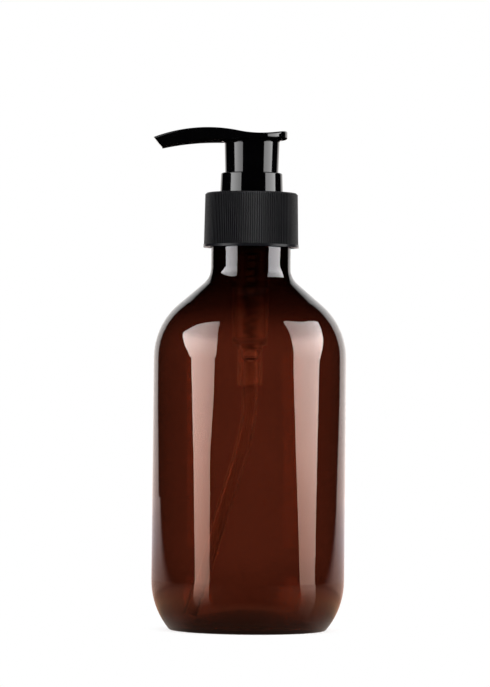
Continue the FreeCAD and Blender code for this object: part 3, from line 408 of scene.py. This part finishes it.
def table_sheen(tree, rays, parts, out):
    """The table in the bottle's gloss, from a place on it and that place's distance out from the axis."""
    half_width = calculate(tree, "MULTIPLY_ADD", parts["Y"], FAN_FLARE, FAN_WIDTH)
    margin = calculate(tree, "SUBTRACT", half_width, calculate(tree, "ABSOLUTE", parts["X"]))
    fan = calculate(tree, "MULTIPLY", spread(tree, margin, 0.0, 1.0, *FAN_EDGE, ease="SMOOTHSTEP"),
                    spread(tree, parts["Y"], 0.0, 1.0, *FAN_FRONT, ease="SMOOTHSTEP"))
    round_foot = spread(tree, calculate(tree, "DIVIDE", parts["Y"], out), 0.0, 1.0, *FOOT_FRONT)
    in_front = spread(tree, out, FOOT_EDGE_SHARE, 0.0, *FOOT_EDGE)
    foot = calculate(tree, "MULTIPLY", spread(tree, out, 1.0, 0.0, *FOOT_GLOW),
                     calculate(tree, "MAXIMUM", round_foot, in_front))
    foot = calculate(tree, "MAXIMUM", calculate(tree, "SUBTRACT", foot, fan), 0.0)
    climb = split(tree, add(tree, "ShaderNodeNewGeometry").outputs["Incoming"])["Z"]
    source = calculate(tree, "MULTIPLY", rays["Ray Length"], climb)
    reach = spread(tree, source, 1.0, 0.0, *GLOW_REACH)
    sides = spread(tree, calculate(tree, "DIVIDE", parts["X"], out), *BACKDROP_SIDES, *BACKDROP_SPAN)
    colour = ramp(tree, out, TABLE_COLOURS)
    clear = add(tree, "ShaderNodeBsdfTransparent").outputs["BSDF"]
    behind = blend_shaders(tree, calculate(tree, "MULTIPLY", fan, reach), clear, glow(tree, colour, sides))
    strength = calculate(tree, "MULTIPLY", sides, calculate(tree, "MULTIPLY", foot, reach))
    beside = glow(tree, colour, strength)
    return add(tree, "ShaderNodeAddShader", {0: behind, 1: beside}).outputs["Shader"]


# Finishes

def moulded_skin():
    """Node group: fine grain, slow waves and specks of a moulded surface. Scales are per metre."""
    tree = bpy.data.node_groups.new("moulded_skin", "ShaderNodeTree")
    for name in ("Grain Scale", "Wave Scale", "Speck Scale"):
        tree.interface.new_socket(name, in_out="INPUT", socket_type="NodeSocketFloat")
    for name in ("Grain", "Waves", "Specks"):
        tree.interface.new_socket(name, in_out="OUTPUT", socket_type="NodeSocketFloat")
    asked = add(tree, "NodeGroupInput").outputs
    place = place_in(tree)
    grain = add(tree, "ShaderNodeTexNoise", {
        "Vector": place, "Scale": asked["Grain Scale"], "Detail": 3.0, "Roughness": 0.6})
    waves = add(tree, "ShaderNodeTexNoise", {
        "Vector": place, "Scale": asked["Wave Scale"], "Detail": 1.0, "Roughness": 0.4})
    cells = add(tree, "ShaderNodeTexVoronoi", {"Vector": place, "Scale": asked["Speck Scale"]})
    specks = spread(tree, cells.outputs["Distance"], 1.0, 0.0, *SPECK_EDGE, ease="SMOOTHSTEP")
    add(tree, "NodeGroupOutput", {
        "Grain": grain.outputs["Fac"], "Waves": waves.outputs["Fac"], "Specks": specks})
    return tree


SKIN = moulded_skin()


def skin_of(tree, grain, wave, speck=SPECK_SCALE):
    """The moulded skin's outputs at these scales."""
    scales = {"Grain Scale": grain, "Wave Scale": wave, "Speck Scale": speck}
    return add(tree, "ShaderNodeGroup", scales, node_tree=SKIN).outputs


def new_finish(name, **values):
    """A material with its Principled shader's plain sockets set."""
    material = bpy.data.materials.new(name)
    material.use_nodes = True
    shader = material.node_tree.nodes["Principled BSDF"]
    for socket, value in values.items():
        shader.inputs[socket.replace("_", " ")].default_value = value
    return material, material.node_tree, shader


def tint(tree, shader, share, first, second):
    """The shader's base colour, between two colours."""
    colour = blend_colours(tree, share, (*first, 1), (*second, 1))
    tree.links.new(colour, shader.inputs["Base Color"])


def roughen(tree, shader, share, low, high):
    """The shader's roughness, between two values."""
    tree.links.new(spread(tree, share, low, high), shader.inputs["Roughness"])


def emboss(tree, shader, height, depth):
    """Fine relief in the shader's normal."""
    bump = add(tree, "ShaderNodeBump", {"Height": height, "Distance": depth, "Strength": 1.0})
    tree.links.new(bump.outputs["Normal"], shader.inputs["Normal"])


def level_mask(tree, low, high):
    """0 below a height of the piece's own frame, 1 above another."""
    return spread(tree, split(tree, place_in(tree))["Z"], 0.0, 1.0, low, high, ease="SMOOTHSTEP")


def amber_plastic():
    """Clear amber, darker where its wall is deep, with painted shade at its foot. Its highlights are
    painted, warm on the body and grey on the neck.
    """
    material, tree, shader = new_finish("amber_plastic", IOR=AMBER_IOR, Transmission_Weight=1.0)
    skin = skin_of(tree, grain=900.0, wave=45.0)
    # painted shade: the tint darkens towards the foot
    base = spread(tree, level_mask(tree, *AMBER_FOOT_SHADE), AMBER_FOOT_SHADE_SHARE, 0.0)
    dark = calculate(tree, "MULTIPLY_ADD", skin["Waves"], AMBER_WAVES, base)
    tint(tree, shader, dark, AMBER_TINT, AMBER_DARK_TINT)
    # painted highlight: the colour of the gloss is set by height
    height = split(tree, place_in(tree))["Z"]
    tree.links.new(ramp(tree, height, AMBER_PAINTED_HIGHLIGHT), shader.inputs["Specular Tint"])
    roughen(tree, shader, skin["Grain"], 0.0, 0.03)
    emboss(tree, shader, skin["Waves"], 0.02 * MM)
    depth = add(tree, "ShaderNodeVolumeAbsorption", {"Color": AMBER_COLOUR, "Density": AMBER_DENSITY})
    tree.links.new(depth.outputs["Volume"], tree.nodes["Material Output"].inputs["Volume"])
    return material


def gloss_black():
    """Polished black plastic with a faint grain and a few dull specks."""
    material, tree, shader = new_finish("gloss_black", IOR=1.345)
    skin = skin_of(tree, grain=2500.0, wave=120.0, speck=700.0)
    tint(tree, shader, skin["Waves"], (0.0002, 0.0002, 0.0003), (0.0006, 0.0006, 0.0007))
    roughen(tree, shader, capped_sum(tree, skin["Grain"], skin["Specks"]), 0.02, 0.10)
    emboss(tree, shader, skin["Waves"], 0.01 * MM)
    return material


def ribbed_black():
    """Matte black plastic with a fine sparked grain, polished on the closure's rim."""
    material, tree, shader = new_finish("ribbed_black", IOR=1.46, Specular_IOR_Level=0.10)
    skin = skin_of(tree, grain=9000.0, wave=150.0)
    tint(tree, shader, skin["Waves"], (0.0035, 0.0035, 0.0042), (0.006, 0.006, 0.007))
    matte = spread(tree, skin["Grain"], 0.25, 0.40)
    above_rim = level_mask(tree, *RIM_GLOSS)
    tree.links.new(blend_values(tree, above_rim, RIM_ROUGHNESS, matte), shader.inputs["Roughness"])
    parts = split(tree, place_in(tree))
    turn = calculate(tree, "ARCTAN2", parts["Y"], parts["X"])
    rib = calculate(tree, "COSINE", calculate(tree, "MULTIPLY", turn, RIB_COUNT))
    rib = calculate(tree, "MULTIPLY", rib, above_rim)
    emboss(tree, shader, calculate(tree, "MULTIPLY_ADD", skin["Grain"], RIB_GRAIN, rib), RIB_ROUND)
    return material


def clear_plastic():
    """Natural plastic that lets light through and scatters some of it, with painted shade on the tube under
    the housing.
    """
    material, tree, shader = new_finish(
        "clear_plastic", IOR=1.49, Transmission_Weight=0.965, Sheen_Weight=0.3, Sheen_Roughness=0.3)
    skin = skin_of(tree, grain=1500.0, wave=200.0)
    # painted shade: below the housing's foot, the tube takes the darker colour
    waves_and_tube_shade = calculate(tree, "MULTIPLY_ADD", skin["Waves"], CLEAR_WAVES, level_mask(tree, *TUBE_SHADE_TOP))
    tint(tree, shader, waves_and_tube_shade, (0.78, 0.75, 0.70), (0.98, 0.94, 0.86))
    roughen(tree, shader, skin["Grain"], 0.18, 0.26)
    return material


def inner_plastic():
    """White engineering plastic of the pump's inner pieces."""
    material, tree, shader = new_finish("inner_plastic", IOR=1.5)
    skin = skin_of(tree, grain=3000.0, wave=200.0)
    tint(tree, shader, skin["Waves"], (0.74, 0.74, 0.71), (0.84, 0.84, 0.82))
    roughen(tree, shader, skin["Grain"], 0.28, 0.45)
    emboss(tree, shader, skin["Grain"], 0.01 * MM)
    return material


def soft_white():
    """Foamed sealing ring."""
    material, tree, shader = new_finish("soft_white", IOR=1.45)
    skin = skin_of(tree, grain=2200.0, wave=300.0, speck=2500.0)
    tint(tree, shader, skin["Specks"], (0.84, 0.84, 0.82), (0.70, 0.70, 0.68))
    roughen(tree, shader, skin["Grain"], 0.6, 0.85)
    emboss(tree, shader, skin["Grain"], 0.04 * MM)
    return material


def spring_steel():
    """Dark drawn wire with fine marks."""
    material, tree, shader = new_finish("spring_steel", Metallic=1.0)
    skin = skin_of(tree, grain=5000.0, wave=400.0)
    tint(tree, shader, skin["Waves"], (0.008, 0.008, 0.008), (0.02, 0.02, 0.019))
    roughen(tree, shader, skin["Grain"], 0.16, 0.36)
    emboss(tree, shader, skin["Grain"], 0.004 * MM)
    return material


def ball_steel():
    """Dull steel of the ball."""
    material, tree, shader = new_finish("ball_steel", Metallic=0.85)
    skin = skin_of(tree, grain=6000.0, wave=500.0)
    tint(tree, shader, skin["Waves"], (0.80, 0.80, 0.81), (0.88, 0.88, 0.89))
    roughen(tree, shader, skin["Grain"], 0.40, 0.55)
    return material


FINISHES = {finish.__name__: finish() for finish in (
    amber_plastic, gloss_black, ribbed_black, clear_plastic,
    inner_plastic, soft_white, spring_steel, ball_steel)}


def dress_cad_nodes():
    """Every CAD node wears the finish that its record names."""
    for part in frame["record"]["subparts"]:
        node = nodes[part["node"]]
        node.data.materials.clear()
        node.data.materials.append(FINISHES[part["material_slot"]])


# Pieces that the frame leaves to the looks

def new_piece(name, bm, body, slot, crease=CREASE):
    """Closes a mesh and makes it a piece that rides on a body and wears a finish."""
    bmesh.ops.remove_doubles(bm, verts=bm.verts, dist=MERGE)
    bmesh.ops.recalc_face_normals(bm, faces=bm.faces)
    mesh = bpy.data.meshes.new(name)
    bm.to_mesh(mesh)
    bm.free()
    mesh.shade_smooth()
    mesh.set_sharp_from_angle(angle=crease)
    mesh.materials.append(FINISHES[slot])
    piece = bpy.data.objects.new(name, mesh)
    bpy.context.scene.collection.objects.link(piece)
    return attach(piece, body)


def wind(bm, outline, turns, rise, steps):
    """Sweeps an outline round the bottle's axis as it climbs, and gives the outline where it ends."""
    swept = bmesh.ops.spin(
        bm, geom=outline, cent=(0, 0, 0), axis=UP, dvec=UP * (rise / steps),
        angle=2 * math.pi * turns, steps=steps)
    return swept["geom_last"]


def edges_of(geometry):
    """The edges among some geometry."""
    return [item for item in geometry if isinstance(item, bmesh.types.BMEdge)]


def verts_of(geometry):
    """The points among some geometry."""
    return [item for item in geometry if isinstance(item, bmesh.types.BMVert)]


def make_spring():
    """One wire, whose pitch eases in from its flat ends. It rides on the spring's body, with a mesh of its
    own.
    """
    low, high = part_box("spring")
    radius = high.y - SPRING_WIRE / 2
    rise = high.z - low.z - SPRING_WIRE
    extra = (rise - SPRING_END_PITCH * SPRING_TURNS) / (SPRING_TURNS - 1)

    def height(turn):
        eased = turn / 2 - math.sin(math.pi * turn) / (2 * math.pi)
        return SPRING_END_PITCH * turn + extra * eased

    bm = bmesh.new()
    stand = Matrix.Translation((radius, 0, low.z + SPRING_WIRE / 2)) @ Matrix.Rotation(math.pi / 2, 4, "X")
    bmesh.ops.create_circle(bm, segments=SPRING_SIDES, radius=SPRING_WIRE / 2, matrix=stand)
    first = bm.edges[:]
    outline = bm.verts[:] + first
    marks = [step / SPRING_STEPS for step in range(SPRING_STEPS + 1)]
    ease = [height(after) - height(before) for before, after in zip(marks, marks[1:])]
    for climb in ease:
        outline = wind(bm, outline, 1 / SPRING_STEPS, climb, 1)
    middle = SPRING_TURNS - 2
    outline = wind(bm, outline, middle, rise - 2 * height(1), middle * SPRING_STEPS)
    for climb in reversed(ease):
        outline = wind(bm, outline, 1 / SPRING_STEPS, climb, 1)
    bmesh.ops.edgeloop_fill(bm, edges=first)
    bmesh.ops.edgeloop_fill(bm, edges=edges_of(outline))
    spring = new_piece("spring_wire", bm, "spring", "spring_steel")
    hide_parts("spring")
    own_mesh(spring)


def make_thread(name, body, slot, wall, outward, foot, turns):
    """A ridge that climbs to the right, and runs out into its wall at both ends. Outward is 1 or -1."""
    root = wall - outward * THREAD_SINK
    crest = wall + outward * THREAD_DEPTH
    bm = bmesh.new()
    corners = ((root, -THREAD_ROOT), (root, -THREAD_CREST), (root, THREAD_CREST), (root, THREAD_ROOT))
    ring = [bm.verts.new((radius, 0, foot + across / 2)) for radius, across in corners]
    first = [bm.edges.new((ring[i - 1], ring[i])) for i in range(len(ring))]

    def set_crest(outline, level, radius):
        near = (THREAD_ROOT + THREAD_CREST) / 4
        for vert in verts_of(outline):
            if abs(vert.co.z - level) < near:
                vert.co.xy = vert.co.xy.normalized() * radius

    run_out = THREAD_RUN_OUT * THREAD_LEAD
    level = foot + run_out
    outline = wind(bm, ring + first, THREAD_RUN_OUT, run_out, 1)
    set_crest(outline, level, crest)
    outline = wind(bm, outline, turns, turns * THREAD_LEAD, round(turns * THREAD_STEPS))
    level += turns * THREAD_LEAD + run_out
    outline = wind(bm, outline, THREAD_RUN_OUT, run_out, 1)
    set_crest(outline, level, root)
    new_piece(name, bm, body, slot, crease=THREAD_CREASE)


def make_turn_mark():
    """A double arrow, laid on the curve of the pad."""
    bm = bmesh.new()
    turn_in = Matrix.Rotation((math.pi - MARK_SWEEP) / 2, 4, "Z")
    ends = [bm.verts.new(turn_in @ Vector((MARK_RADIUS + side * MARK_WIDTH / 2, 0, 0))) for side in (-1, 1)]
    start = bm.edges.new(ends)
    swept = bmesh.ops.spin(
        bm, geom=[start, *ends], cent=(0, 0, 0), axis=UP, angle=MARK_SWEEP, steps=MARK_STEPS)
    finish = edges_of(swept["geom_last"])[0]
    for edge, way in ((start, -1), (finish, 1)):
        middle = (edge.verts[0].co + edge.verts[1].co) / 2
        radial = middle.normalized()
        ahead = UP.cross(radial) * way
        barbs = [bm.verts.new(middle + radial * side * MARK_HEAD_WIDTH / 2) for side in (-1, 1)]
        tip = bm.verts.new(middle + ahead * MARK_HEAD_LENGTH)
        inner, outer = sorted(edge.verts, key=lambda vert: vert.co.length)
        bm.faces.new((barbs[0], inner, outer, barbs[1], tip))
    raised = bmesh.ops.extrude_face_region(bm, geom=bm.faces[:])
    top = verts_of(raised["geom"])
    bmesh.ops.translate(bm, verts=top, vec=UP * (MARK_RISE + MARK_SINK))
    walls = {face for face in bm.faces if abs(face.normal.z) < WALL_SLOPE}
    rim = [edge for edge in bm.edges
           if all(vert in top for vert in edge.verts) and len(walls.intersection(edge.link_faces)) == 1]
    bmesh.ops.bevel(
        bm, geom=rim, offset=MARK_EDGE, segments=MARK_EDGE_STEPS, profile=0.5, affect="EDGES", material=-1)
    bmesh.ops.translate(bm, verts=bm.verts, vec=MARK_MIDDLE)
    pad = BVHTree.FromObject(nodes["pump_head"], bpy.context.evaluated_depsgraph_get())
    above = cad_box[1].z + MARK_RISE
    for vert in bm.verts:
        seat = pad.ray_cast(Vector((vert.co.x, vert.co.y, above)), -UP)[0]
        vert.co.z += seat.z - MARK_SINK
    new_piece("turn_mark", bm, "actuator", "gloss_black")


set_camera()
for softbox_name, softbox in SOFTBOXES.items():
    hang_softbox(softbox_name, **softbox)
light_world()
lay_table()
dress_cad_nodes()
make_spring()
make_thread("neck_thread", "bottle", "amber_plastic", NECK_RADIUS, 1, NECK_THREAD_FOOT, NECK_THREAD_TURNS)
make_thread("closure_thread", "closure", "ribbed_black", CLOSURE_BORE, -1,
            NECK_THREAD_FOOT - THREAD_LEAD / 2, CLOSURE_THREAD_TURNS)
make_turn_mark()

bpy.context.scene.view_settings.view_transform = "Standard"
